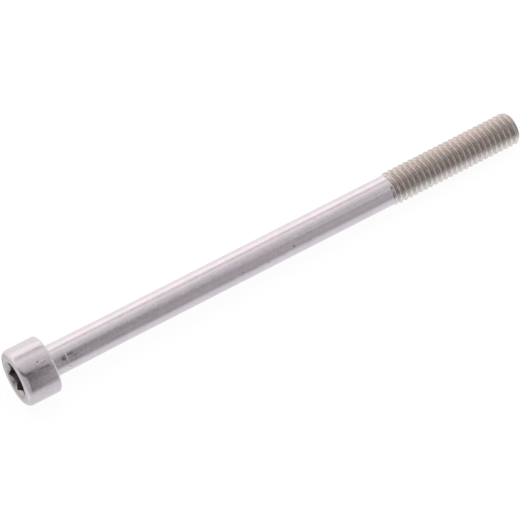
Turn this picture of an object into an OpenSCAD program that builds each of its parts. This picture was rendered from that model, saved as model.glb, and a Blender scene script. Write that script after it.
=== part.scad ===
// Hex socket head cap screw, partly threaded, with a shank narrower than its thread.
// It lies as it comes to rest: on the rim of its head and the last crests of its thread.
// The screw's own frame has Z along its axis and 0 at the bearing face, with the head above.

/* [Screw] */
// Length from the bearing face to the end of the thread
screw_length = 90; // [50:1:140]
// Turn of the lying screw about its own axis, from a corner of its hexagon on top
screw_roll = 6; // [0:1:59]

/* [Head] */
// Diameter of the head
head_diameter = 9.9; // [9:0.1:13]
// Height of the head above the bearing face
head_height = 6; // [5:0.1:9]
// Radius that rounds the head's top edge
head_round = 0.9; // [0.1:0.05:1.3]
// Radius that rounds the edge of the bearing face
bearing_round = 0.4; // [0.05:0.05:0.5]

/* [Socket] */
// Width of the hexagon across its flats
socket_width = 5.04; // [3:0.02:6]
// Depth of the hexagon's corners below the head's top
socket_depth = 3.1; // [2:0.1:4]
// Angle of the cone that closes the socket
socket_floor_angle = 120; // [100:1:150]
// Diameter of the socket's rounded mouth at the head's top
mouth_diameter = 6.9; // [6.2:0.1:7.6]
// Slope at which the rounded mouth leaves the head's top
mouth_edge_angle = 6; // [2:1:20]

/* [Shank] */
// Diameter of the plain shank
shank_diameter = 5.22; // [4.9:0.01:5.6]
// Diameter of the neck, where the shank is a little thicker towards the head
neck_diameter = 5.31; // [5.2:0.01:5.7]
// Distance from the bearing face to the end of the neck
neck_length = 6.5; // [4:0.5:15]
// Length of the taper from the neck to the shank
neck_taper = 4; // [1:0.5:10]
// Diameter of the shoulder just below the head
shoulder_diameter = 5.36; // [5.2:0.01:6]
// Length of the shoulder below the bearing face
shoulder_length = 2.7; // [1:0.1:3.5]
// Length of the taper from the shoulder to the neck
shoulder_taper = 0.15; // [0.05:0.05:0.4]
// Radius of the fillet between the shoulder and the bearing face
head_fillet = 0.35; // [0.1:0.05:0.7]

/* [Thread] */
// Diameter over the thread's crests
thread_diameter = 5.8; // [5.7:0.01:6.5]
// Distance from one crest to the next
thread_pitch = 1; // [0.8:0.05:1.5]
// Length of the full thread, from the screw's end
thread_length = 24; // [12:1:34]
// Length over which the thread fades into the shank
thread_runout = 1.4; // [0.5:0.1:3]
// Depth of the thread as a share of its pitch
thread_depth_share = 0.6; // [0.45:0.01:0.61]
// Angle between the flanks of a tooth
thread_angle = 60; // [50:1:60]
// Turn of the thread about the screw's axis
thread_turn = 330; // [0:1:359]
// Length of the chamfer at the screw's end
end_chamfer = 0.5; // [0.2:0.05:1.2]
// Diameter of the flat at the screw's end, inside the chamfer
end_diameter = 4.55; // [3:0.05:5]

/* [Hidden] */
$fn = 128;
full_turn = 360;
right_angle = 90;
// A cutting shape stands this far out of what it cuts
spare = 0.05;

head_radius = head_diameter / 2;
shank_radius = shank_diameter / 2;
neck_radius = neck_diameter / 2;
shoulder_radius = shoulder_diameter / 2;
thread_radius = thread_diameter / 2;
end_radius = end_diameter / 2;

// The socket's hexagon, and the cone that closes its floor
hexagon_sides = 6;
socket_corner = socket_width / 2 / cos(full_turn / hexagon_sides / 2);
socket_floor = socket_depth + socket_corner / tan(socket_floor_angle / 2);

// The mouth narrows from the head's top to a throat just inside the hexagon's flats
mouth_throat = socket_width / 2 - spare;
mouth_round = (mouth_diameter / 2 - mouth_throat) / (1 - sin(mouth_edge_angle));
mouth_depth = mouth_round * cos(mouth_edge_angle);

// One tooth of the thread over one pitch, as [share of the pitch, share of the depth]
crest_share = 1 / 8;
flank_share = thread_depth_share * tan(thread_angle / 2);
root_share = 1 - crest_share - 2 * flank_share;
root_edge_rise = 0.06;
tooth = [
    [0, 1],
    [crest_share, 1],
    [crest_share + flank_share, root_edge_rise],
    [crest_share + flank_share + root_share / 2, 0],
    [crest_share + flank_share + root_share, root_edge_rise]
];

// The thread's surface is a grid: a row of points for each step round the helix, a column for each point of a tooth
steps = 30;
columns = len(tooth);
thread_depth = thread_pitch * thread_depth_share;
thread_top = thread_length + thread_runout - screw_length;
// The helix runs this far past the screw's end, to be cut there, and this far into the shank
helix_overrun = 1.25 * thread_pitch;
helix_bottom = -screw_length - helix_overrun;
rows = ceil((thread_top + helix_overrun - helix_bottom) / thread_pitch * steps);
// Where the thread has faded out, its surface lies just inside the shank
faded_radius = shank_radius - 0.02;

// The lean at which the head's rim and the thread's last crests touch the ground together
rest_reach = screw_length - end_chamfer + bearing_round;
rest_lean = atan((head_radius - thread_radius) / rest_reach);
rest_height = head_radius * cos(rest_lean) - bearing_round * sin(rest_lean);
rest_middle = (screw_length - head_height) / 2 * cos(rest_lean);

// How much of the thread's depth is reached at a height, from 0 at the shank to 1 where the thread is full
function thread_share(height) =
    let (along = min(1, max(0, (thread_top - height) / thread_runout)))
    along * along * (3 - 2 * along);

function surface_radius(height, depth_share) =
    let (full_radius = thread_radius - thread_depth * (1 - depth_share))
    faded_radius + (full_radius - faded_radius) * thread_share(height);

function surface_point(row, column) =
    let (
        angle = full_turn * row / steps,
        height = helix_bottom + thread_pitch * (row / steps + tooth[column][0]),
        radius = surface_radius(height, tooth[column][1])
    )
    [radius * cos(angle), radius * sin(angle), height];

// The last column of a row joins the first column of the row one turn on
function at(row, column) =
    column < columns ? row * columns + column : (row + steps) * columns;

function surface_faces(row, column) =
    let (
        near = at(row, column),
        above = at(row, column + 1),
        far_above = at(row + 1, column + 1),
        far = at(row + 1, column)
    )
    [[near, above, far_above], [near, far_above, far]];

// A cap is a fan from a point on the axis to the edge that the helix leaves open
function cap(centre, edge) =
    [for (i = [0:len(edge) - 1]) [centre, edge[i], edge[(i + 1) % len(edge)]]];

// A full length of threaded bar with its ends left rough
module threaded_bar() {
    points = [for (row = [0:rows]) for (column = [0:columns - 1]) surface_point(row, column)];
    centres = [
        [0, 0, helix_bottom + thread_pitch / 2],
        [0, 0, helix_bottom + thread_pitch * (rows / steps + 1 / 2)]
    ];
    walls = [
        for (row = [0:rows - 1])
            for (column = [0:columns - 1])
                if (column < columns - 1 || row < rows - steps)
                    each surface_faces(row, column)
    ];
    bottom_edge = concat(
        [for (row = [0:steps]) at(row, 0)],
        [for (column = [columns - 1:-1:1]) at(0, column)]
    );
    top_edge = concat(
        [for (column = [0:columns - 1]) at(rows, column)],
        [for (row = [rows - 1:-1:rows - steps]) at(row, columns - 1)]
    );
    caps = concat(cap(len(points), bottom_edge), cap(len(points) + 1, top_edge));
    polyhedron(points = concat(points, centres), faces = concat(walls, caps));
}

// The space that the thread may fill, with the chamfer at the screw's end
module thread_envelope() {
    wide = thread_radius + spare;
    chamfer_slope = end_chamfer / (thread_radius - end_radius);
    top = thread_top + 2 * helix_overrun;
    rotate_extrude()
        polygon([
            [0, -screw_length],
            [end_radius, -screw_length],
            [wide, (wide - end_radius) * chamfer_slope - screw_length],
            [wide, top],
            [0, top]
        ]);
}

module thread() {
    intersection() {
        rotate(thread_turn)
            threaded_bar();
        thread_envelope();
    }
}

// Half the head's section, with both edges of its side rounded
module head_section() {
    difference() {
        square([head_radius, head_height]);
        translate([head_radius - head_round, head_height - head_round])
            round_off(head_round);
        translate([head_radius - bearing_round, bearing_round])
            rotate(-right_angle)
                round_off(bearing_round);
    }
}

// What rounding a corner by a radius takes off, from the centre of the round
module round_off(radius) {
    difference() {
        square(radius + spare);
        circle(radius);
    }
}

// Half the shank's section, with the neck, the shoulder and the fillet that meets the bearing face
module shank_section() {
    difference() {
        translate([0, -head_fillet])
            square([shoulder_radius + head_fillet, head_fillet]);
        translate([shoulder_radius + head_fillet, -head_fillet])
            circle(head_fillet);
    }
    polygon([
        [0, 0],
        [shoulder_radius, 0],
        [shoulder_radius, -shoulder_length],
        [neck_radius, -shoulder_length - shoulder_taper],
        [neck_radius, -neck_length],
        [shank_radius, -neck_length - neck_taper],
        [shank_radius, thread_top],
        [0, thread_top]
    ]);
}

// The forged blank, before its thread is rolled
module blank() {
    rotate_extrude()
        union() {
            head_section();
            shank_section();
        }
}

// A cone that stands on its point at the origin
module pointed_cone(height, angle) {
    cylinder(h = height, r1 = 0, r2 = height * tan(angle / 2));
}

module socket() {
    translate([0, 0, head_height - socket_floor])
        intersection() {
            cylinder(h = socket_floor + spare, r = socket_corner, $fn = hexagon_sides);
            pointed_cone(socket_floor + spare, socket_floor_angle);
        }
    socket_mouth();
}

// What opens the socket's mouth, hollowed along the round that it leaves
module socket_mouth() {
    translate([0, 0, head_height - mouth_depth])
        rotate_extrude()
            difference() {
                square([mouth_throat + mouth_round, mouth_depth + spare]);
                translate([mouth_throat + mouth_round, 0])
                    circle(mouth_round);
            }
}

// Lays the screw along X, with its socket towards -X
module at_rest() {
    translate([-rest_middle, 0, rest_height])
        rotate([0, rest_lean - right_angle, 0])
            rotate(screw_roll)
                children();
}

module screw() {
    color("silver")
        at_rest()
            union() {
                difference() {
                    blank();
                    socket();
                }
                thread();
            }
}

screw();
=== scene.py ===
"""A hex socket cap screw that lies as it rests, on the stage that it is shown on"""
import contextlib
import math

import bmesh
import bpy
from bpy.props import FloatProperty, FloatVectorProperty, IntProperty, PointerProperty
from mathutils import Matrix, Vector


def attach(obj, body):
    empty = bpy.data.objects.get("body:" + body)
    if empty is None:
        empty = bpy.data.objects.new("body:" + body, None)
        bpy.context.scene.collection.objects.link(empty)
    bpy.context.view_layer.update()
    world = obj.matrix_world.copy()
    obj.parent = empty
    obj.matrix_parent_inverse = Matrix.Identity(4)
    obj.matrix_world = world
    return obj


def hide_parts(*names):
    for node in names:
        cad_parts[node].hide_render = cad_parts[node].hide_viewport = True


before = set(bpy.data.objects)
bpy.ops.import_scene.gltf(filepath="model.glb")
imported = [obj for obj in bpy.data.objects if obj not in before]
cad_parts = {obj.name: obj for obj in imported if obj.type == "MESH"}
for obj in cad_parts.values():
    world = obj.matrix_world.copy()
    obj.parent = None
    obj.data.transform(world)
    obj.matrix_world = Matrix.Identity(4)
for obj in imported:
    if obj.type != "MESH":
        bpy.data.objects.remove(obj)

bl_info = {
    "name": "Hex Socket Cap Screw",
    "version": (1, 0, 0),
    "blender": (4, 5, 0),
    "location": "View3D > Sidebar > Cap Screw",
    "description": "Models a partly threaded cap screw in satin steel",
    "category": "Add Mesh",
}

MM = 0.001
FULL_TURN = 2 * math.pi
NEAR = 1e-6
WHITE = (1, 1, 1, 1)
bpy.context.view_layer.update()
CAD_NODE = "screw"
CAD_BODY = "root"
SCREW = "cap_screw"

HEXAGON_SIDES = 6
# Facets of the round at the head's top, of the small rounds at its foot, and of the socket's mouth
HEAD_FACETS, FOOT_FACETS, MOUTH_FACETS = 24, 12, 32
# Edges sharper than this stay sharp when the screw is shaded smooth
SHARP_ANGLE = math.radians(30)
# How far a cutting shape stands out of what it cuts
SPARE = 0.5 * MM
# The socket's mouth narrows to a throat this far inside the hexagon's flats
THROAT_INSET = 0.05 * MM
# The threaded bar and the blank end this far above the thread's run-out, and a band joins them there
BAR_END = 0.6 * MM
BLANK_END = 1.6 * MM


def length(name, description, size):
    """A length that the user sets, given here in millimetres"""
    return FloatProperty(
        name=name, description=description, default=size * MM, precision=5, unit="LENGTH", subtype="DISTANCE"
    )


def angle(name, description, degrees):
    return FloatProperty(
        name=name, description=description, default=math.radians(degrees), unit="ROTATION", subtype="ANGLE"
    )


def factor(name, description, value):
    return FloatProperty(name=name, description=description, default=value, min=0, max=1, subtype="FACTOR")


def colour(name, description, value):
    return FloatVectorProperty(name=name, description=description, default=value, min=0, max=1, size=3, subtype="COLOR")


class ScrewSizes(bpy.types.PropertyGroup):
    """Sizes of the screw, in its own frame: Z along the axis, 0 at the bearing face, the head above"""

    screw_length: length("Length", "From the bearing face to the end of the thread", 90)
    roll: angle("Roll", "Turn of the lying screw about its axis, from a hexagon corner on top", 6)
    head_diameter: length("Head Diameter", "Diameter of the head", 9.9)
    head_height: length("Head Height", "Height of the head above the bearing face", 6)
    head_round: length("Head Round", "Radius that rounds the head's top edge", 0.9)
    bearing_round: length("Bearing Round", "Radius that rounds the edge of the bearing face", 0.4)
    socket_width: length("Socket Width", "Width of the hexagon across its flats", 5.04)
    socket_depth: length("Socket Depth", "Depth of the hexagon's corners below the head's top", 3.1)
    floor_angle: angle("Socket Floor Angle", "Angle of the cone that closes the socket", 120)
    mouth_diameter: length("Mouth Diameter", "Width of the socket's rounded mouth at the head's top", 6.9)
    mouth_edge_angle: angle("Mouth Edge Angle", "Slope at which the rounded mouth leaves the head's top", 6)
    shank_diameter: length("Shank Diameter", "Diameter of the plain shank", 5.22)
    neck_diameter: length("Neck Diameter", "Diameter of the neck, towards the head", 5.31)
    neck_length: length("Neck Length", "From the bearing face to the end of the neck", 6.5)
    neck_taper: length("Neck Taper", "Length of the taper from the neck to the shank", 4)
    shoulder_diameter: length("Shoulder Diameter", "Diameter of the shoulder just below the head", 5.36)
    shoulder_length: length("Shoulder Length", "Length of the shoulder below the bearing face", 2.7)
    shoulder_taper: length("Shoulder Taper", "Length of the taper from the shoulder to the neck", 0.15)
    head_fillet: length("Head Fillet", "Radius between the shoulder and the bearing face", 0.35)
    thread_diameter: length("Thread Diameter", "Diameter over the thread's crests", 5.8)
    thread_pitch: length("Thread Pitch", "Distance from one crest to the next", 1)
    thread_length: length("Thread Length", "Length of the full thread, from the screw's end", 24)
    thread_runout: length("Thread Run-out", "Length over which the thread fades into the shank", 1.4)
    thread_depth: length("Thread Depth", "Depth of the thread from crest to root", 0.52)
    crest_width: length("Crest Width", "Width of the thread's crest", 0.24)
    thread_turn: angle("Thread Turn", "Turn of the thread about the screw's axis", 336)
    end_chamfer: length("End Chamfer", "Length of the chamfer at the screw's end", 0.5)
    end_diameter: length("End Diameter", "Diameter of the flat at the screw's end", 4.55)
    round_sides: IntProperty(name="Round Sides", description="Sides of what is turned", default=192, min=48)
    thread_steps: IntProperty(name="Thread Steps", description="Steps in one turn of the thread", default=96, min=24)


class SteelFinish(bpy.types.PropertyGroup):
    """Colours and roughness of the screw's surfaces"""

    steel: colour("Steel", "Colour of the drawn shank and the head", (0.65, 0.62, 0.655))
    thread_steel: colour("Thread Steel", "Colour of the rolled thread's flanks", (0.7, 0.68, 0.675))
    # The oil's tint; the film's tones by side add painted light and shade to it
    oil_film: colour("Oil Film", "Tint of the old oil on the thread's upper side", (0.82, 0.785, 0.755))
    crest_steel: colour("Crest Steel", "Colour of the thread's rubbed crests", (0.72, 0.695, 0.685))
    # Darker roots: partly residue, partly painted shade in the thread's grooves
    root_residue_and_shade: colour("Root Steel", "Colour of the thread's roots", (0.55, 0.53, 0.525))
    dust: colour("Dust", "Colour of the dull film in the socket's mouth", (0.37, 0.352, 0.33))
    # Soot, which also paints shade into the socket's walls and floor
    soot_and_shade: colour("Soot", "Colour of what the press leaves in the socket", (0.2, 0.175, 0.165))
    steel_roughness: factor("Steel Roughness", "Roughness of the drawn shank and the head", 0.21)
    thread_roughness: factor("Thread Roughness", "Roughness of the rolled thread", 0.34)
    crest_roughness: factor("Crest Roughness", "Roughness of the thread's crests", 0.24)
    soot_roughness: factor("Soot Roughness", "Roughness of the socket's sooty walls", 0.5)
    head_tone: factor("Head Tone", "How much of the shank's brightness the forged head keeps", 0.92)
    streaks: factor("Streaks", "How strongly the drawn streaks show along the screw", 0.12)
    grain: factor("Grain", "How strongly the fine grain shows", 0.17)
    thread_grain: factor("Thread Grain", "How strongly the grain shows on the thread", 0.3)
    rough_grain: factor("Rough Grain", "How strongly the grain changes the roughness", 0.1)
    bump_strength: factor("Bump Strength", "How strongly the grain's relief turns the light", 0.6)
    bump_depth: length("Bump Depth", "Depth of the grain's relief", 0.014)


class StageSettings(bpy.types.PropertyGroup):
    """The camera and the light"""

    azimuth: angle("Camera Azimuth", "Direction of the camera round the screw", 31.7781)
    elevation: angle("Camera Elevation", "Height of the camera above the horizon", 57.7462)
    distance: length("Camera Distance", "From the camera to the point that it looks at", 585.790)
    aim_right: length("Aim Right", "How far right of the origin the camera aims", -1.5211)
    aim_up: length("Aim Up", "How far above the origin in the picture the camera aims", 0.5317)
    focal_pixels: FloatProperty(
        name="Focal Length", description="Focal length in pixels of the image", default=3548.498
    )
    image_pixels: IntProperty(name="Image Width", description="Width of the image in pixels", default=520, min=1)
    floor_size: length("Floor Size", "Width of the floor", 4000)
    floor_glow: factor("Floor Glow", "Share of the floor's white that no shadow dims", 0.95)
    floor_tone: factor("Floor Tone", "Brightness of the floor's own surface", 0.92)


def rest_lean(sizes):
    """The lean at which the head's rim and the last crests touch the floor together"""
    reach = sizes.screw_length - sizes.end_chamfer + sizes.bearing_round
    return math.atan((sizes.head_diameter - sizes.thread_diameter) / 2 / reach)


def rest_place(sizes):
    """Where the middle of the bearing face lies at rest"""
    lean = rest_lean(sizes)
    height = sizes.head_diameter / 2 * math.cos(lean) - sizes.bearing_round * math.sin(lean)
    middle = (sizes.screw_length - sizes.head_height) / 2 * math.cos(lean)
    return Vector((-middle, 0, height))


def thread_top(sizes):
    """The height at which the thread has faded into the shank"""
    return sizes.thread_length + sizes.thread_runout - sizes.screw_length


def mouth_shape(sizes):
    """The radius of the mouth's throat, and that of the round which opens it to the head's top"""
    throat = sizes.socket_width / 2 - THROAT_INSET
    return throat, (sizes.mouth_diameter / 2 - throat) / (1 - math.sin(sizes.mouth_edge_angle))


def work_on(*pieces):
    """Selects these pieces alone, the first as the active one"""
    for thing in bpy.context.selected_objects:
        thing.select_set(False)
    for piece in pieces:
        piece.select_set(True)
    bpy.context.view_layer.objects.active = pieces[0]


def new_piece(name):
    """Names the primitive just added and puts its place into its mesh"""
    piece = bpy.context.active_object
    piece.name = name
    piece.data.name = name
    work_on(piece)
    bpy.ops.object.transform_apply(location=True, rotation=True, scale=True)
    return piece


@contextlib.contextmanager
def edit_mode(piece, kind):
    """Edit mode with nothing selected"""
    work_on(piece)
    bpy.ops.object.mode_set(mode="EDIT")
    bpy.ops.mesh.select_mode(type=kind)
    bpy.ops.mesh.select_all(action="DESELECT")
    yield bmesh.from_edit_mesh(piece.data)
    bpy.ops.object.mode_set(mode="OBJECT")


def pick(piece, items, test):
    """Selects the vertices, edges or faces that pass a test of all their corners"""
    for item in items:
        corners = getattr(item, "verts", None) or [item]
        item.select_set(all(test(corner.co) for corner in corners))
    bmesh.update_edit_mesh(piece.data)


def level(height):
    """A test for points at a height"""
    return lambda point: abs(point.z - height) < NEAR


def ring(height, radius):
    """A test for points at a height and at a distance from the axis"""
    return lambda point: abs(point.z - height) < NEAR and abs(math.hypot(point.x, point.y) - radius) < NEAR


def draw_out(stations, radius):
    """Extrudes the selected end face downwards through stations of (drop, radius)"""
    for drop, next_radius in stations:
        bpy.ops.mesh.extrude_region_move(TRANSFORM_OT_translate={"value": (0, 0, -drop)})
        share = next_radius / radius
        bpy.ops.transform.resize(value=(share, share, 1), center_override=(0, 0, 0))
        radius = next_radius


def round_ring(piece, height, radius, size, segments):
    """Rounds the edge that runs round the piece at a height and radius"""
    with edit_mode(piece, "EDGE") as mesh:
        pick(piece, mesh.edges, ring(height, radius))
        bpy.ops.mesh.bevel(offset=size, segments=segments, profile=0.5, affect="EDGES", clamp_overlap=False)


def combine(piece, other, operation):
    """Cuts, joins or intersects a piece with another, which is used up"""
    work_on(piece)
    boolean = piece.modifiers.new(operation.title(), "BOOLEAN")
    boolean.operation = operation
    boolean.object = other
    boolean.solver = "EXACT"
    bpy.ops.object.modifier_apply(modifier=boolean.name)
    bpy.data.objects.remove(other)


class CAPSCREW_OT_blank(bpy.types.Operator):
    """Models the forged blank: the head, and the shank drawn out of it"""

    bl_idname = "cap_screw.blank"
    bl_label = "Forged Blank"

    def execute(self, context):
        sizes = context.scene.screw_sizes
        head_radius = sizes.head_diameter / 2
        shoulder_radius = sizes.shoulder_diameter / 2
        neck_radius = sizes.neck_diameter / 2
        shank_radius = sizes.shank_diameter / 2
        shank_end = -thread_top(sizes) - BLANK_END
        neck_end = sizes.neck_length + sizes.neck_taper
        bpy.ops.mesh.primitive_cylinder_add(
            vertices=sizes.round_sides,
            radius=head_radius,
            depth=sizes.head_height,
            location=(0, 0, sizes.head_height / 2),
        )
        blank = new_piece(SCREW)
        with edit_mode(blank, "FACE") as mesh:
            pick(blank, mesh.faces, level(0))
            draw_out(
                [
                    (0, shoulder_radius),
                    (sizes.shoulder_length, shoulder_radius),
                    (sizes.shoulder_taper, neck_radius),
                    (sizes.neck_length - sizes.shoulder_length - sizes.shoulder_taper, neck_radius),
                    (sizes.neck_taper, shank_radius),
                    (shank_end - neck_end, shank_radius),
                ],
                head_radius,
            )
        round_ring(blank, sizes.head_height, head_radius, sizes.head_round, HEAD_FACETS)
        round_ring(blank, 0, head_radius, sizes.bearing_round, FOOT_FACETS)
        round_ring(blank, 0, shoulder_radius, sizes.head_fillet, FOOT_FACETS)
        with edit_mode(blank, "EDGE") as mesh:
            for height, radius in (
                (-sizes.shoulder_length, shoulder_radius),
                (-sizes.shoulder_length - sizes.shoulder_taper, neck_radius),
            ):
                pick(blank, mesh.edges, ring(height, radius))
                bpy.ops.mesh.mark_sharp()
        return {"FINISHED"}


class CAPSCREW_OT_socket(bpy.types.Operator):
    """Presses the hexagon into the head and rounds its mouth"""

    bl_idname = "cap_screw.socket"
    bl_label = "Hexagon Socket"

    def hexagon(self, sizes):
        """What the hexagon takes out of the head: a prism with its foot cut to a cone"""
        corner = sizes.socket_width / 2 / math.cos(FULL_TURN / HEXAGON_SIDES / 2)
        floor_drop = corner / math.tan(sizes.floor_angle / 2)
        bottom = sizes.head_height - (sizes.socket_depth + floor_drop)
        depth = sizes.socket_depth + floor_drop + SPARE
        middle = (0, 0, bottom + depth / 2)
        bpy.ops.mesh.primitive_cylinder_add(
            vertices=HEXAGON_SIDES,
            radius=corner,
            depth=depth,
            location=middle,
            rotation=(0, 0, FULL_TURN / HEXAGON_SIDES / 2),
        )
        hexagon = new_piece("socket_hexagon")
        bpy.ops.mesh.primitive_cone_add(
            vertices=sizes.round_sides,
            radius1=0,
            radius2=depth * math.tan(sizes.floor_angle / 2),
            depth=depth,
            location=middle,
        )
        combine(hexagon, new_piece("socket_floor"), "INTERSECT")
        return hexagon

    def mouth(self, sizes):
        """What the rounded mouth takes out of the head: a stem that flares to a brim"""
        throat, mouth_round = mouth_shape(sizes)
        brim = sizes.head_height + mouth_round * (1 - math.cos(sizes.mouth_edge_angle))
        brim_radius = throat + mouth_round + SPARE
        stem = mouth_round + SPARE
        bpy.ops.mesh.primitive_cylinder_add(
            vertices=sizes.round_sides, radius=throat, depth=stem, location=(0, 0, brim - stem / 2)
        )
        mouth = new_piece("socket_mouth")
        with edit_mode(mouth, "FACE") as mesh:
            pick(mouth, mesh.faces, level(brim))
            draw_out([(0, brim_radius), (-SPARE, brim_radius)], throat)
        round_ring(mouth, brim, throat, mouth_round, MOUTH_FACETS)
        return mouth

    def execute(self, context):
        sizes = context.scene.screw_sizes
        screw = bpy.data.objects[SCREW]
        combine(screw, self.hexagon(sizes), "DIFFERENCE")
        combine(screw, self.mouth(sizes), "DIFFERENCE")
        return {"FINISHED"}


# One tooth of the thread, as (share of the crest's or root's width, share of the thread's depth)
CREST_SHAPE = ((0, 0.91), (0.15, 0.98), (0.5, 1), (0.8, 0.985), (1, 0.93))
ROOT_SHAPE = ((0, 0.06), (0.25, 0.015), (0.5, 0), (0.75, 0.015), (1, 0.06))
# Shares of a flank at which it has points, and its slope from straight out
FLANK_STEPS = (0.25, 0.5, 0.75)
FLANK_ANGLE = math.radians(30)
# The helix runs this many pitches past the screw's end, to be cut there
OVERRUN = 1.25
# How far the shape that cuts the chamfer stands out from the crests
CHAMFER_SPARE = 0.2 * MM


class CAPSCREW_OT_thread(bpy.types.Operator):
    """Rolls the thread, fades it into the shank and cuts its end"""

    bl_idname = "cap_screw.thread"
    bl_label = "Rolled Thread"

    def tooth(self, sizes):
        """One tooth over one pitch, as points of (share of the pitch, share of the depth)"""
        crest = sizes.crest_width / sizes.thread_pitch
        flank = sizes.thread_depth * math.tan(FLANK_ANGLE) / sizes.thread_pitch
        root = 1 - crest - 2 * flank
        return [
            *((crest * along, share) for along, share in CREST_SHAPE),
            *((crest + flank * step, 1 - step) for step in FLANK_STEPS),
            *((crest + flank + root * along, share) for along, share in ROOT_SHAPE),
            *((1 - flank * step, 1 - step) for step in reversed(FLANK_STEPS)),
            (1, CREST_SHAPE[0][1]),
        ]

    def helix(self, sizes, bottom, top):
        """The thread's surface without its ends: a profile swept by a screw modifier"""
        pitch = sizes.thread_pitch
        crest_radius = sizes.thread_diameter / 2
        points = [
            Vector((crest_radius - sizes.thread_depth * (1 - share), 0, bottom + along * pitch))
            for along, share in self.tooth(sizes)
        ]
        bpy.ops.mesh.primitive_plane_add(size=pitch)
        helix = new_piece("thread")
        with edit_mode(helix, "VERT"):
            bpy.ops.mesh.select_all(action="SELECT")
            bpy.ops.mesh.merge(type="CENTER")
            bpy.ops.transform.translate(value=points[0])
            for point, next_point in zip(points, points[1:]):
                bpy.ops.mesh.extrude_vertices_move(TRANSFORM_OT_translate={"value": next_point - point})
        sweep = helix.modifiers.new("Sweep", "SCREW")
        sweep.axis = "Z"
        sweep.angle = FULL_TURN
        sweep.screw_offset = pitch
        sweep.iterations = math.ceil((top - bottom) / pitch)
        sweep.steps = sweep.render_steps = sizes.thread_steps
        sweep.use_merge_vertices = True
        sweep.merge_threshold = NEAR
        bpy.ops.object.modifier_apply(modifier=sweep.name)
        return helix

    def fade(self, helix, sizes):
        """Brings the thread's surface to the shank's radius over the run-out"""
        shank = sizes.shank_diameter / 2
        for vertex in helix.data.vertices:
            share = min(1, max(0, (thread_top(sizes) - vertex.co.z) / sizes.thread_runout))
            share = share * share * (3 - 2 * share)
            radius = math.hypot(vertex.co.x, vertex.co.y)
            scale = (shank + (radius - shank) * share) / radius
            vertex.co.x *= scale
            vertex.co.y *= scale

    def envelope(self, sizes, bottom, top):
        """The space that the thread may fill, with the chamfer at the screw's end"""
        wide = sizes.thread_diameter / 2 + CHAMFER_SPARE
        end_radius = sizes.end_diameter / 2
        slope = sizes.end_chamfer / (sizes.thread_diameter / 2 - end_radius)
        chamfer = (wide - end_radius) * slope
        bpy.ops.mesh.primitive_cylinder_add(
            vertices=sizes.round_sides,
            radius=wide,
            depth=top - bottom - chamfer,
            location=(0, 0, (top + bottom + chamfer) / 2),
        )
        envelope = new_piece("thread_envelope")
        with edit_mode(envelope, "FACE") as mesh:
            pick(envelope, mesh.faces, level(bottom + chamfer))
            draw_out([(chamfer, end_radius)], wide)
        return envelope

    def execute(self, context):
        sizes = context.scene.screw_sizes
        screw = bpy.data.objects[SCREW]
        end = -sizes.screw_length
        bar_end = thread_top(sizes) + BAR_END
        blank_end = thread_top(sizes) + BLANK_END
        helix = self.helix(sizes, end - OVERRUN * sizes.thread_pitch, bar_end + sizes.thread_pitch)
        self.fade(helix, sizes)
        with edit_mode(helix, "VERT"):
            bpy.ops.mesh.select_all(action="SELECT")
            bpy.ops.mesh.remove_doubles(threshold=NEAR)
            bpy.ops.mesh.fill_holes(sides=0)
            bpy.ops.mesh.select_all(action="SELECT")
            bpy.ops.mesh.normals_make_consistent(inside=False)
        envelope = self.envelope(sizes, end, bar_end)
        helix.rotation_euler.z = sizes.thread_turn - sizes.roll
        work_on(helix)
        bpy.ops.object.transform_apply(rotation=True)
        combine(helix, envelope, "INTERSECT")
        work_on(screw, helix)
        bpy.ops.object.join()
        with edit_mode(screw, "FACE") as mesh:
            for height in (bar_end, blank_end):
                pick(screw, mesh.faces, level(height))
                bpy.ops.mesh.delete(type="FACE")
            bpy.ops.mesh.select_mode(type="EDGE")
            for edge in mesh.edges:
                edge.select_set(edge.is_boundary)
            bmesh.update_edit_mesh(screw.data)
            bpy.ops.mesh.bridge_edge_loops()
        return {"FINISHED"}


class CAPSCREW_OT_rest(bpy.types.Operator):
    """Lays the screw down as it rests, and smooths what is round"""

    bl_idname = "cap_screw.rest"
    bl_label = "Rest"

    def execute(self, context):
        sizes = context.scene.screw_sizes
        screw = bpy.data.objects[SCREW]
        work_on(screw)
        screw.rotation_euler.z = sizes.roll
        bpy.ops.object.transform_apply(rotation=True)
        screw.rotation_euler.y = rest_lean(sizes) - math.pi / 2
        screw.location = rest_place(sizes)
        bpy.ops.object.transform_apply(location=True, rotation=True)
        with edit_mode(screw, "FACE"):
            bpy.ops.mesh.select_all(action="SELECT")
            bpy.ops.mesh.normals_make_consistent(inside=False)
        bpy.ops.object.shade_smooth_by_angle(angle=SHARP_ANGLE, keep_sharp_edges=True)
        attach(screw, CAD_BODY)
        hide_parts(CAD_NODE)
        return {"FINISHED"}


def add_node(tree, kind, **inputs):
    """A node of this kind, with values for its inputs by name"""
    node = tree.nodes.new(kind)
    for name, value in inputs.items():
        node.inputs[name.replace("_", " ")].default_value = value
    return node


def feed(tree, source, target):
    tree.links.new(source, target)


def fill(tree, socket, value):
    """Feeds a socket from another, or gives it a number or a colour"""
    if isinstance(value, bpy.types.NodeSocket):
        feed(tree, value, socket)
    elif isinstance(value, (int, float)):
        socket.default_value = value
    else:
        socket.default_value = (*value, 1)


def calculate(tree, operation, *values):
    """A math node fed by sockets or numbers"""
    node = tree.nodes.new("ShaderNodeMath")
    node.operation = operation
    for socket, value in zip(node.inputs, values):
        fill(tree, socket, value)
    return node.outputs[0]


def remap(tree, value, low, high, new_low=0.0, new_high=1.0, smooth=True):
    """A map range node, which is a mask from 0 at one edge to 1 at the other unless it is told more"""
    node = tree.nodes.new("ShaderNodeMapRange")
    node.interpolation_type = "SMOOTHSTEP" if smooth else "LINEAR"
    sockets = {"Value": value, "From Min": low, "From Max": high, "To Min": new_low, "To Max": new_high}
    for name, given in sockets.items():
        fill(tree, node.inputs[name], given)
    return node.outputs["Result"]


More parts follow.
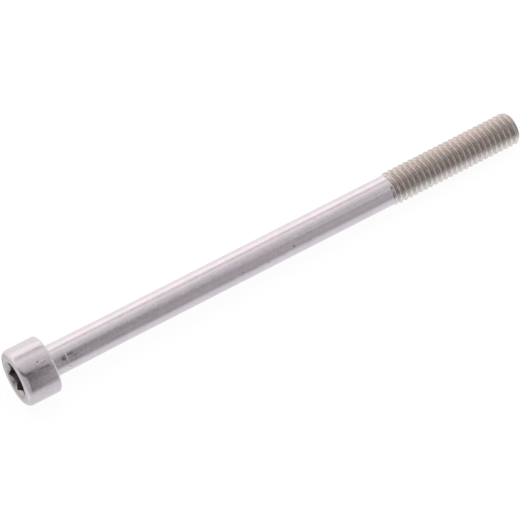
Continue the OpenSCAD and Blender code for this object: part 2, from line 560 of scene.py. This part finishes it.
def band(tree, value, start, end):
    """A mask that fades in between the edges of its start and out between those of its end"""
    return calculate(tree, "MULTIPLY", remap(tree, value, *start), remap(tree, value, *end))


def mix_colours(tree, share, first, second, blend="MIX"):
    """A colour mix node fed by sockets or colours"""
    node = tree.nodes.new("ShaderNodeMix")
    node.data_type = "RGBA"
    node.blend_type = blend
    for socket, value in ((node.inputs[0], share), (node.inputs[6], first), (node.inputs[7], second)):
        fill(tree, socket, value)
    return node.outputs[2]


def multiply_colours(tree, first, second):
    return mix_colours(tree, 1, first, second, blend="MULTIPLY")


def grey(tone):
    return (tone, tone, tone)


def new_group(name, inputs, outputs):
    """A shader node group with sockets of these names and kinds"""
    tree = bpy.data.node_groups.new(name, "ShaderNodeTree")
    for side, sockets in (("INPUT", inputs), ("OUTPUT", outputs)):
        for label, kind in sockets.items():
            tree.interface.new_socket(name=label, in_out=side, socket_type=kind)
    return tree, tree.nodes.new("NodeGroupInput"), tree.nodes.new("NodeGroupOutput")


def use_group(tree, group, source):
    """A node for a group whose first input is fed by this source"""
    node = tree.nodes.new("ShaderNodeGroup")
    node.node_tree = group
    feed(tree, source, node.inputs[0])
    return node


def noise(tree, place, scale, detail, stretch=(1, 1, 1)):
    """Noise at so many features a millimetre, closer or wider along each axis"""
    mapping = add_node(tree, "ShaderNodeMapping", Scale=stretch)
    feed(tree, place, mapping.inputs["Vector"])
    node = add_node(tree, "ShaderNodeTexNoise", Scale=scale, Detail=detail)
    feed(tree, mapping.outputs["Vector"], node.inputs["Vector"])
    return node.outputs[0]


def centred(tree, value, strength):
    """A value from 0 to 1 as a share of its strength round nought"""
    return calculate(tree, "MULTIPLY", calculate(tree, "SUBTRACT", value, 0.5), strength)


def in_radians(edges):
    return [math.radians(edge) for edge in edges]


# What the steel has picked up on the side that shows: millimetres from the bearing face towards the tip, degrees
# from the top towards the camera's side, length along the screw, width round it, slant in degrees, and tone
MARKS = (
    (-2.5, 17.5, 0.5, 0.35, 0, 0.55),
    (-1.9, 20, 1.5, 0.2, 8, 1.2),
    (-1.6, 22.5, 1.2, 0.22, 5, 0.68),
    (-1.8, 26, 1.1, 0.18, 0, 1.14),
    (-4.6, 31, 1.7, 0.4, 0, 0.7),
    (-3.3, 33.5, 0.7, 0.3, 0, 1.16),
    (-2.3, 32, 0.8, 0.4, 0, 0.66),
    (-1.3, 33, 1.2, 0.55, 0, 0.66),
    (-3.0, 37, 6.2, 1.5, 0, 0.86),
    (-1.9, 45.5, 1.3, 0.4, 0, 0.82),
    (-4.3, -8, 1.4, 0.3, 0, 0.86),
    (-1.6, -8, 2.2, 0.3, 0, 0.86),
    (-3.4, 64, 0.9, 0.3, 20, 0.8),
    (-1.5, 60, 0.8, 0.3, 0, 0.85),
    (-3.4, 71.5, 0.6, 0.2, 30, 1.12),
    (-4.7, 80, 0.9, 0.18, 40, 1.14),
    (-3.3, 82, 0.8, 0.2, 30, 0.87),
    (2.1, 40, 0.8, 0.8, 0, 0.42),
    (3.5, 33, 1.1, 0.5, 0, 0.6),
    (4.2, 46, 1.2, 0.4, 0, 0.74),
    (2.85, 80, 1.1, 0.17, -48, 0.55),
    (2.0, 62, 0.8, 0.2, 0, 1.14),
    (5.4, 49.5, 3.2, 0.13, 0, 1.16),
    (3.6, 59.5, 5.2, 0.2, 0, 0.82),
    (12.0, 58, 2.4, 0.16, 0, 0.86),
    (13.1, 60, 0.7, 0.25, 0, 0.85),
    (25.6, 62, 0.6, 0.25, 0, 0.87),
    (35.6, 60, 0.5, 0.3, 0, 0.66),
    (37.5, 67, 1.2, 0.22, 0, 0.83),
    (40.4, 71, 0.7, 0.3, 0, 0.75),
    (43.4, 72, 0.8, 0.25, 0, 0.82),
    (45.4, 56, 0.45, 0.45, 0, 0.45),
    (46.3, 27, 1.2, 0.2, 0, 1.12),
    (48.7, 34, 0.8, 0.3, 0, 0.86),
    (50.7, 2, 0.7, 0.25, 0, 0.87),
    (64.95, 58, 2.1, 0.42, 84, 0.5),
)
# Edges of a mark, as shares of its size from its middle, and how far noise moves them
MARK_EDGES = (1.1, 0.5)
MARK_RAGGEDNESS = 1.2

# The two edges between which each surface of the screw fades in: heights and radii in millimetres
THREAD_HEIGHTS = (-64.9, -65.5)
ABOVE_CHAMFER_HEIGHTS = (-89.75, -89.45)
HEAD_HEIGHTS = (-0.3, 0.1)
CREST_RADII = (2.64, 2.76)
# Roots of the thread, darkened partly as residue, partly as painted shade in the grooves
SHADED_ROOT_RADII = (2.52, 2.4)
SOCKET_RADII = (2.93, 2.87)
SOCKET_HEIGHTS = (0.4, 0.8)
MOUTH_RADII = (3.45, 3.1)
MOUTH_HEIGHTS = (4.5, 4.8)

# Soot and painted shade in the socket: how far it starts behind the mouth's round, and at which heights above the
# throat the thin soot and shade on the round and the full soot and shade below it start, in millimetres
WALL_DISTANCES = (0.004, 0.012)
THIN_SOOT_AND_SHADE_HEIGHTS = (0.62, 0.42)
THIN_SOOT_AND_SHADE = 0.62
FULL_SOOT_AND_SHADE_HEIGHTS = (0.04, -0.02)

# Dust in the mouth thins from the first to the second share where the clouds rise between these values
DUSTY_CLOUDS = (0.3, 0.6)
DUST_SHARES = (1, 0.75)

# Oil on the thread, in degrees from the screw's top: its edges on both sides, and those of the camera's side of it
OIL_TURNS = (78, 52)
CAMERA_SIDE_TURNS = (-22, 0)
# Tones of the film on the far side and on the camera's side, which paint light and shade by side, and on the crests
FAR_FILM_AND_LIGHT, NEAR_FILM_AND_LIGHT, CREST_FILM = 1.2, 1.08, 0.93
# Painted bands of shade along the thread: where each starts and ends, in degrees from the screw's top, and its tone
SHADE_BANDS = (
    (-40, -18, 0.87),
    (40, 62, 0.93),
)
# How many degrees a band of painted shade fades to either side of where it starts and ends
SHADE_BAND_FADE = 5

# Faint tints that the clouds give the steel and the thread
CLOUD_EDGES = (0.4, 0.6)
STEEL_TINTS = ((0.985, 1, 0.98), (1.015, 0.995, 1.005))
THREAD_TINTS = ((0.96, 0.98, 0.93), (1.03, 0.99, 0.99))


class CAPSCREW_OT_steel(bpy.types.Operator):
    """Gives the screw its satin steel, a duller thread, soot and painted shade in the socket, and its marks"""

    bl_idname = "cap_screw.steel"
    bl_label = "Satin Steel"

    def texture(self):
        """Streaks along the drawn wire, fine grain, and wide cloudy patches, for a place in millimetres"""
        tree, given, result = new_group(
            "drawn_texture",
            {"Place": "NodeSocketVector"},
            {"Streaks": "NodeSocketFloat", "Grain": "NodeSocketFloat", "Clouds": "NodeSocketFloat"},
        )
        place = given.outputs["Place"]
        streaks = noise(tree, place, scale=3, detail=4, stretch=(1, 1, 0.03))
        feed(tree, streaks, result.inputs["Streaks"])
        feed(tree, noise(tree, place, scale=2.4, detail=3), result.inputs["Grain"])
        feed(tree, noise(tree, place, scale=0.6, detail=3), result.inputs["Clouds"])
        return tree

    def mark(self):
        """A ragged spot, for a place in the spot's own frame and size"""
        tree, given, result = new_group("mark", {"Place": "NodeSocketVector"}, {"Mask": "NodeSocketFloat"})
        place = given.outputs["Place"]
        reach = tree.nodes.new("ShaderNodeVectorMath")
        reach.operation = "LENGTH"
        feed(tree, place, reach.inputs[0])
        ragged = centred(tree, noise(tree, place, scale=1.4, detail=3), MARK_RAGGEDNESS)
        distance = calculate(tree, "ADD", reach.outputs["Value"], ragged)
        feed(tree, remap(tree, distance, *MARK_EDGES), result.inputs["Mask"])
        return tree

    def marks(self, tree, place, sizes):
        """How much the marks dim or brighten the steel at a place"""
        mark = self.mark()
        shade = 1
        for distance, turn, long, wide, slant, tone in MARKS:
            radius = (sizes.head_diameter if distance < 0 else sizes.neck_diameter) / 2 / MM
            turn = math.radians(turn)
            mark_frame = add_node(
                tree,
                "ShaderNodeMapping",
                Location=(radius * math.cos(turn), -radius * math.sin(turn), -distance),
                Rotation=(math.radians(slant), 0, -turn),
                Scale=(1, wide / 2, long / 2),
            )
            mark_frame.vector_type = "TEXTURE"
            feed(tree, place, mark_frame.inputs["Vector"])
            mask = use_group(tree, mark, mark_frame.outputs["Vector"]).outputs["Mask"]
            shade = calculate(tree, "MULTIPLY", shade, calculate(tree, "MULTIPLY_ADD", mask, tone - 1, 1))
        return shade

    def place(self, tree, sizes):
        """The place of a point in the screw's own frame, in millimetres"""
        coordinates = add_node(tree, "ShaderNodeTexCoord")
        screw_frame = add_node(
            tree,
            "ShaderNodeMapping",
            Location=rest_place(sizes),
            Rotation=(0, rest_lean(sizes) - math.pi / 2, 0),
            Scale=(MM, MM, MM),
        )
        screw_frame.vector_type = "TEXTURE"
        feed(tree, coordinates.outputs["Object"], screw_frame.inputs["Vector"])
        return screw_frame.outputs["Vector"]

    def sooty_and_shaded(self, tree, radius, height, sizes):
        """Where soot and painted shade lie: on the socket's walls and floor, and thinly on the lower part of its mouth
        """
        throat, mouth_round = (size / MM for size in mouth_shape(sizes))
        throat_height = sizes.head_height / MM - mouth_round * math.cos(sizes.mouth_edge_angle)
        rise = calculate(tree, "MAXIMUM", calculate(tree, "SUBTRACT", height, throat_height), 0)
        bulge = calculate(tree, "SUBTRACT", mouth_round**2, calculate(tree, "MULTIPLY", rise, rise))
        bulge = calculate(tree, "SQRT", calculate(tree, "MAXIMUM", bulge, 0))
        mouth_radius = calculate(tree, "SUBTRACT", throat + mouth_round, bulge)
        sooty_and_shaded = remap(tree, calculate(tree, "SUBTRACT", radius, mouth_radius), *WALL_DISTANCES)
        for heights, share in ((THIN_SOOT_AND_SHADE_HEIGHTS, THIN_SOOT_AND_SHADE), (FULL_SOOT_AND_SHADE_HEIGHTS, 1)):
            start, full = (throat_height + above for above in heights)
            sooty_and_shaded = calculate(tree, "MAXIMUM", sooty_and_shaded, remap(tree, height, start, full, 0, share))
        in_socket = calculate(
            tree, "MULTIPLY", remap(tree, radius, *SOCKET_RADII), remap(tree, height, *SOCKET_HEIGHTS)
        )
        return calculate(tree, "MULTIPLY", in_socket, sooty_and_shaded)

    def film(self, tree, turn, crest, finish):
        """The colour of the oil on the thread, with painted light and shade by side and painted bands of shade"""
        camera_side = remap(tree, turn, *in_radians(CAMERA_SIDE_TURNS))
        tones = mix_colours(tree, camera_side, grey(FAR_FILM_AND_LIGHT), grey(NEAR_FILM_AND_LIGHT))
        tones = mix_colours(tree, crest, tones, grey(CREST_FILM))
        film = multiply_colours(tree, finish.oil_film, tones)
        for start, end, tone in SHADE_BANDS:
            fade_in = in_radians((start - SHADE_BAND_FADE, start + SHADE_BAND_FADE))
            fade_out = in_radians((end + SHADE_BAND_FADE, end - SHADE_BAND_FADE))
            band_shaded = multiply_colours(tree, film, grey(tone))
            film = mix_colours(tree, band(tree, turn, fade_in, fade_out), film, band_shaded)
        return film

    def execute(self, context):
        sizes = context.scene.screw_sizes
        finish = context.scene.steel_finish
        screw = bpy.data.objects[SCREW]
        material = bpy.data.materials.new("satin_steel")
        material.use_nodes = True
        tree = material.node_tree
        shader = tree.nodes["Principled BSDF"]
        shader.inputs["Metallic"].default_value = 1

        place = self.place(tree, sizes)
        split = add_node(tree, "ShaderNodeSeparateXYZ")
        feed(tree, place, split.inputs[0])
        up, far, height = split.outputs
        turn = calculate(tree, "ARCTAN2", calculate(tree, "MULTIPLY", far, -1), up)
        square = calculate(tree, "MULTIPLY_ADD", up, up, calculate(tree, "MULTIPLY", far, far))
        radius = calculate(tree, "SQRT", square)
        texture = use_group(tree, self.texture(), place)
        streaks, grain, clouds = (texture.outputs[name] for name in ("Streaks", "Grain", "Clouds"))

        on_thread = remap(tree, height, *THREAD_HEIGHTS)
        crest = calculate(tree, "MULTIPLY", remap(tree, radius, *CREST_RADII), on_thread)
        root = calculate(tree, "MULTIPLY", remap(tree, radius, *SHADED_ROOT_RADII), on_thread)
        oily = remap(tree, calculate(tree, "ABSOLUTE", turn), *in_radians(OIL_TURNS))
        oily = calculate(tree, "MULTIPLY", oily, on_thread)
        oily = calculate(tree, "MULTIPLY", oily, remap(tree, height, *ABOVE_CHAMFER_HEIGHTS))
        mouth = calculate(tree, "MULTIPLY", remap(tree, radius, *MOUTH_RADII), remap(tree, height, *MOUTH_HEIGHTS))
        dusty = calculate(tree, "MULTIPLY", mouth, remap(tree, clouds, *DUSTY_CLOUDS, *DUST_SHARES))
        sooty_and_shaded = self.sooty_and_shaded(tree, radius, height, sizes)

        base = mix_colours(tree, on_thread, finish.steel, finish.thread_steel)
        base = mix_colours(tree, crest, base, finish.crest_steel)
        # Darker roots: partly residue, partly painted shade in the thread's grooves
        base = mix_colours(tree, root, base, finish.root_residue_and_shade)
        # Oil tint on the thread's upper side, with painted light and shade by side and in bands
        film = mix_colours(tree, oily, grey(1), self.film(tree, turn, crest, finish))
        base = multiply_colours(tree, base, film)
        cloudy = remap(tree, clouds, *CLOUD_EDGES)
        steel_tint = mix_colours(tree, cloudy, *STEEL_TINTS)
        thread_tint = mix_colours(tree, cloudy, *THREAD_TINTS)
        base = multiply_colours(tree, base, mix_colours(tree, on_thread, steel_tint, thread_tint))
        base = mix_colours(tree, dusty, base, finish.dust)
        # Soot and painted shade darken the socket's walls and floor
        base = mix_colours(tree, sooty_and_shaded, base, finish.soot_and_shade)

        strength = calculate(tree, "MULTIPLY_ADD", on_thread, finish.thread_grain - finish.grain, finish.grain)
        shade = centred(tree, grain, strength)
        for pattern in (streaks, clouds):
            shade = calculate(tree, "ADD", shade, centred(tree, pattern, finish.streaks))
        shade = calculate(tree, "MULTIPLY", calculate(tree, "ADD", shade, 1), self.marks(tree, place, sizes))
        shade = calculate(tree, "MULTIPLY", shade, remap(tree, height, *HEAD_HEIGHTS, 1, finish.head_tone))
        shade_colour = add_node(tree, "ShaderNodeCombineColor")
        for socket in shade_colour.inputs:
            feed(tree, shade, socket)
        feed(tree, multiply_colours(tree, base, shade_colour.outputs[0]), shader.inputs["Base Color"])

        roughness = finish.steel_roughness
        for mask, rougher in (
            (on_thread, finish.thread_roughness),
            (crest, finish.crest_roughness),
            (sooty_and_shaded, finish.soot_roughness),
        ):
            roughness = remap(tree, mask, 0, 1, roughness, rougher, smooth=False)
        roughness = calculate(tree, "ADD", roughness, centred(tree, grain, finish.rough_grain))
        feed(tree, roughness, shader.inputs["Roughness"])

        bump = add_node(tree, "ShaderNodeBump", Strength=finish.bump_strength, Distance=finish.bump_depth)
        feed(tree, calculate(tree, "ADD", grain, streaks), bump.inputs["Height"])
        feed(tree, bump.outputs["Normal"], shader.inputs["Normal"])
        screw.data.materials.clear()
        screw.data.materials.append(material)
        return {"FINISHED"}


# The studio's light round the screw's long axis: degrees from overhead, positive towards the camera's side, and level
STUDIO_LIGHT = (
    (-180, 0.9),
    (-150, 0.86),
    (-112, 1.12),
    (-84, 1.2),
    (-72, 1.42),
    (-56, 1.38),
    (-46, 0.82),
    (-38, 0.8),
    (-27, 1.12),
    (-12, 0.91),
    (0, 0.78),
    (18, 0.69),
    (34, 0.585),
    (55, 0.595),
    (78, 0.6),
    (94, 0.51),
    (103, 0.59),
    (118, 0.88),
    (140, 0.94),
    (180, 0.95),
)

# Tints of that light, and the turns in degrees between which each fades in, or in and out
SIDE_TINT = (1.02, 0.975, 1.01)
LOW_TINT = (1.0, 0.99, 1.015)
LOW_TURNS = (90, 120)
WARM_TINT = (1.05, 0.99, 0.985)
WARM_TURNS = ((-115, -85), (-5, -30))
FAR_LOW_TINT = (0.995, 0.995, 0.985)
FAR_LOW_TURNS = (-115, -135)

# Light past the screw's ends, and the shares of a direction between which each fades in: along the screw towards its
# tip, or past the head also towards the far side or up
HEAD_END = (-0.42, -0.75)
HEAD_WALL = (0.7, 0.67, 0.71)
HEAD_FAR_WALL = (1.2, 1.14, 1.16)
HEAD_FAR_SIDE = (0.1, 0.5)
HEAD_FLOOR = (1.2, 1.17, 1.2)
HEAD_DOWN = (-0.4, -0.7)
TIP_WALL = (1.03, 0.99, 1.01)
TIP_END = (0.55, 0.75)
TIP_MIDDLE = (0.8, 0.77, 0.8)
TIP_MIDDLE_END = (0.93, 0.975)

# A bright strip on the camera's side towards the tip: its turn in degrees, and its edges from there and along
STRIP = (1.1, 1.07, 1.0)
STRIP_TURN = 30.5
STRIP_EDGES = (9, 3)
STRIP_ALONG = (0.33, 0.365)

# A dark screen on the camera's side: its edges along and round, and how far each degree moves the edge at the tip
SCREEN = (0.1, 0.092, 0.1)
SCREEN_START = (0.03, 0.13)
SCREEN_END = (0.34, 0.295)
SCREEN_SLANT = 0.0011
SCREEN_TURNS = ((15, 31), (112, 98))

# A dark boom that crosses the light: the normal of its plane, its edges, and its turns, thinner on the far side
BOOM = (0.16, 0.15, 0.17)
BOOM_NORMAL = (-0.233, -0.816, -0.525)
BOOM_EDGES = (0.21, 0.08)
BOOM_ALONG = (0.26, 0.16)
BOOM_START = (-25, 5)
BOOM_SHARES = (0.25, 1)
BOOM_END = (75, 50)


class CAPSCREW_OT_stage(bpy.types.Operator):
    """Makes the floor, the light and the camera"""

    bl_idname = "cap_screw.stage"
    bl_label = "Stage"

    def camera(self, settings):
        """A camera that looks at a point near the screw's middle, from its azimuth and elevation"""
        azimuth, elevation = settings.azimuth, settings.elevation
        forward = Vector(
            (math.sin(azimuth) * math.cos(elevation), math.cos(azimuth) * math.cos(elevation), -math.sin(elevation))
        )
        right = Vector((math.cos(azimuth), -math.sin(azimuth), 0))
        up = right.cross(forward)
        aim = settings.aim_right * right + settings.aim_up * up
        bpy.ops.object.camera_add(
            location=aim - forward * settings.distance, rotation=(math.pi / 2 - elevation, 0, -azimuth)
        )
        camera = bpy.context.active_object
        camera.name = "camera"
        camera.data.sensor_width = 36
        camera.data.lens = settings.focal_pixels / settings.image_pixels * camera.data.sensor_width
        camera.data.clip_start = 0.01
        camera.data.clip_end = 100
        bpy.context.scene.camera = camera

    def floor(self, settings):
        """A white floor that keeps the shadow, and that the steel looks through to the studio's own light"""
        bpy.ops.mesh.primitive_plane_add(size=settings.floor_size)
        floor = new_piece("floor")
        material = bpy.data.materials.new("pale_floor")
        material.use_nodes = True
        tree = material.node_tree
        tree.nodes.clear()
        output = add_node(tree, "ShaderNodeOutputMaterial")
        path = add_node(tree, "ShaderNodeLightPath")
        card = add_node(tree, "ShaderNodeBsdfDiffuse", Color=(*grey(settings.floor_tone), 1))
        white = add_node(tree, "ShaderNodeEmission", Color=WHITE)
        share = calculate(tree, "MULTIPLY", path.outputs["Is Camera Ray"], settings.floor_glow)
        lit = self.choose(tree, share, card, white)
        clear = add_node(tree, "ShaderNodeBsdfTransparent")
        seen = self.choose(tree, path.outputs["Is Glossy Ray"], lit, clear)
        feed(tree, seen.outputs[0], output.inputs["Surface"])
        floor.data.materials.append(material)

    def choose(self, tree, share, first, second):
        """A mix of two shaders"""
        mixed = add_node(tree, "ShaderNodeMixShader")
        feed(tree, share, mixed.inputs[0])
        feed(tree, first.outputs[0], mixed.inputs[1])
        feed(tree, second.outputs[0], mixed.inputs[2])
        return mixed

    def light(self):
        """A wide soft lamp for the floor and its shadow, which the steel doesn't show"""
        bpy.ops.object.light_add(type="SUN", location=(0, 0, 1), rotation=(math.radians(-18), math.radians(12), 0))
        lamp = bpy.context.active_object
        lamp.name = "soft_light"
        lamp.data.angle = math.radians(60)
        lamp.data.energy = 2.4
        lamp.visible_glossy = False

    def facing(self, tree, direction, normal):
        """How far a direction points along another, from -1 to 1"""
        node = tree.nodes.new("ShaderNodeVectorMath")
        node.operation = "DOT_PRODUCT"
        feed(tree, direction, node.inputs[0])
        node.inputs[1].default_value = Vector(normal).normalized()
        return node.outputs["Value"]

    def ramp(self, tree, turn):
        """The studio's light at a turn round the long axis"""
        node = tree.nodes.new("ShaderNodeValToRGB")
        node.color_ramp.interpolation = "EASE"
        stops = node.color_ramp.elements
        while len(stops) > 1:
            stops.remove(stops[-1])
        for index, (degrees, brightness) in enumerate(STUDIO_LIGHT):
            position = (degrees + 180) / 360
            stop = stops.new(position) if index else stops[0]
            stop.position = position
            stop.color = (*grey(brightness), 1)
        feed(tree, remap(tree, turn, -180, 180, smooth=False), node.inputs[0])
        return node.outputs[0]

    def walls(self, tree, turn):
        """The light round the long axis with its tints"""
        tint = mix_colours(tree, remap(tree, turn, *LOW_TURNS), SIDE_TINT, LOW_TINT)
        tint = mix_colours(tree, band(tree, turn, *WARM_TURNS), tint, WARM_TINT)
        tint = mix_colours(tree, remap(tree, turn, *FAR_LOW_TURNS), tint, FAR_LOW_TINT)
        return multiply_colours(tree, self.ramp(tree, turn), tint)

    def screen(self, tree, along, turn):
        """Where the dark screen stands"""
        edge = calculate(tree, "MULTIPLY_ADD", turn, SCREEN_SLANT, along)
        across = calculate(tree, "MULTIPLY", remap(tree, along, *SCREEN_START), remap(tree, edge, *SCREEN_END))
        return calculate(tree, "MULTIPLY", across, band(tree, turn, *SCREEN_TURNS))

    def boom(self, tree, direction, along, turn):
        """Where the dark boom hangs"""
        across = calculate(tree, "ABSOLUTE", self.facing(tree, direction, BOOM_NORMAL))
        boom = calculate(tree, "MULTIPLY", remap(tree, across, *BOOM_EDGES), remap(tree, along, *BOOM_ALONG))
        return calculate(tree, "MULTIPLY", boom, band(tree, turn, (*BOOM_START, *BOOM_SHARES), BOOM_END))

    def surroundings(self):
        """The studio as the steel shows it, by direction, and plain white behind it for the camera"""
        world = bpy.data.worlds.new("studio")
        bpy.context.scene.world = world
        world.use_nodes = True
        tree = world.node_tree
        tree.nodes.clear()
        output = add_node(tree, "ShaderNodeOutputWorld")
        direction = add_node(tree, "ShaderNodeTexCoord").outputs["Generated"]
        split = add_node(tree, "ShaderNodeSeparateXYZ")
        feed(tree, direction, split.inputs[0])
        along, far, up = split.outputs
        turn = calculate(tree, "ARCTAN2", calculate(tree, "MULTIPLY", far, -1), up)
        turn = remap(tree, turn, -math.pi, math.pi, -180, 180, smooth=False)
        head_end = mix_colours(tree, remap(tree, far, *HEAD_FAR_SIDE), HEAD_WALL, HEAD_FAR_WALL)
        head_end = mix_colours(tree, remap(tree, up, *HEAD_DOWN), head_end, HEAD_FLOOR)
        strip = calculate(tree, "ABSOLUTE", calculate(tree, "SUBTRACT", turn, STRIP_TURN))
        strip = calculate(tree, "MULTIPLY", remap(tree, strip, *STRIP_EDGES), remap(tree, along, *STRIP_ALONG))
        light = self.walls(tree, turn)
        for mask, shown in (
            (remap(tree, along, *HEAD_END), head_end),
            (remap(tree, along, *TIP_END), TIP_WALL),
            (remap(tree, along, *TIP_MIDDLE_END), TIP_MIDDLE),
            (strip, STRIP),
            (self.screen(tree, along, turn), SCREEN),
            (self.boom(tree, direction, along, turn), BOOM),
        ):
            light = mix_colours(tree, mask, light, shown)
        studio = add_node(tree, "ShaderNodeBackground")
        feed(tree, light, studio.inputs["Color"])
        white = add_node(tree, "ShaderNodeBackground", Color=WHITE)
        path = add_node(tree, "ShaderNodeLightPath")
        seen = self.choose(tree, path.outputs["Is Camera Ray"], studio, white)
        feed(tree, seen.outputs[0], output.inputs["Surface"])

    def execute(self, context):
        settings = context.scene.stage_settings
        self.camera(settings)
        self.floor(settings)
        self.light()
        self.surroundings()
        context.scene.view_settings.view_transform = "Standard"
        return {"FINISHED"}


class CAPSCREW_PT_panel(bpy.types.Panel):
    """Lists the steps and the sizes of the cap screw"""

    bl_idname = "CAPSCREW_PT_panel"
    bl_label = "Cap Screw"
    bl_space_type = "VIEW_3D"
    bl_region_type = "UI"
    bl_category = "Cap Screw"

    def draw(self, context):
        for step in STEPS:
            self.layout.operator(step.bl_idname)
        for name in GROUPS:
            settings = getattr(context.scene, name)
            column = self.layout.column()
            for label in settings.bl_rna.properties.keys():
                if label not in ("rna_type", "name"):
                    column.prop(settings, label)


GROUPS = {"screw_sizes": ScrewSizes, "steel_finish": SteelFinish, "stage_settings": StageSettings}
STEPS = (
    CAPSCREW_OT_blank,
    CAPSCREW_OT_socket,
    CAPSCREW_OT_thread,
    CAPSCREW_OT_rest,
    CAPSCREW_OT_steel,
    CAPSCREW_OT_stage,
)
CLASSES = (*GROUPS.values(), *STEPS, CAPSCREW_PT_panel)


def register():
    for cls in CLASSES:
        bpy.utils.register_class(cls)
    for name, group in GROUPS.items():
        setattr(bpy.types.Scene, name, PointerProperty(type=group))


def unregister():
    for name in GROUPS:
        delattr(bpy.types.Scene, name)
    for cls in reversed(CLASSES):
        bpy.utils.unregister_class(cls)


def main():
    register()
    bpy.ops.cap_screw.blank()
    bpy.ops.cap_screw.socket()
    bpy.ops.cap_screw.thread()
    bpy.ops.cap_screw.rest()
    bpy.ops.cap_screw.steel()
    bpy.ops.cap_screw.stage()


if __name__ == "__main__":
    main()
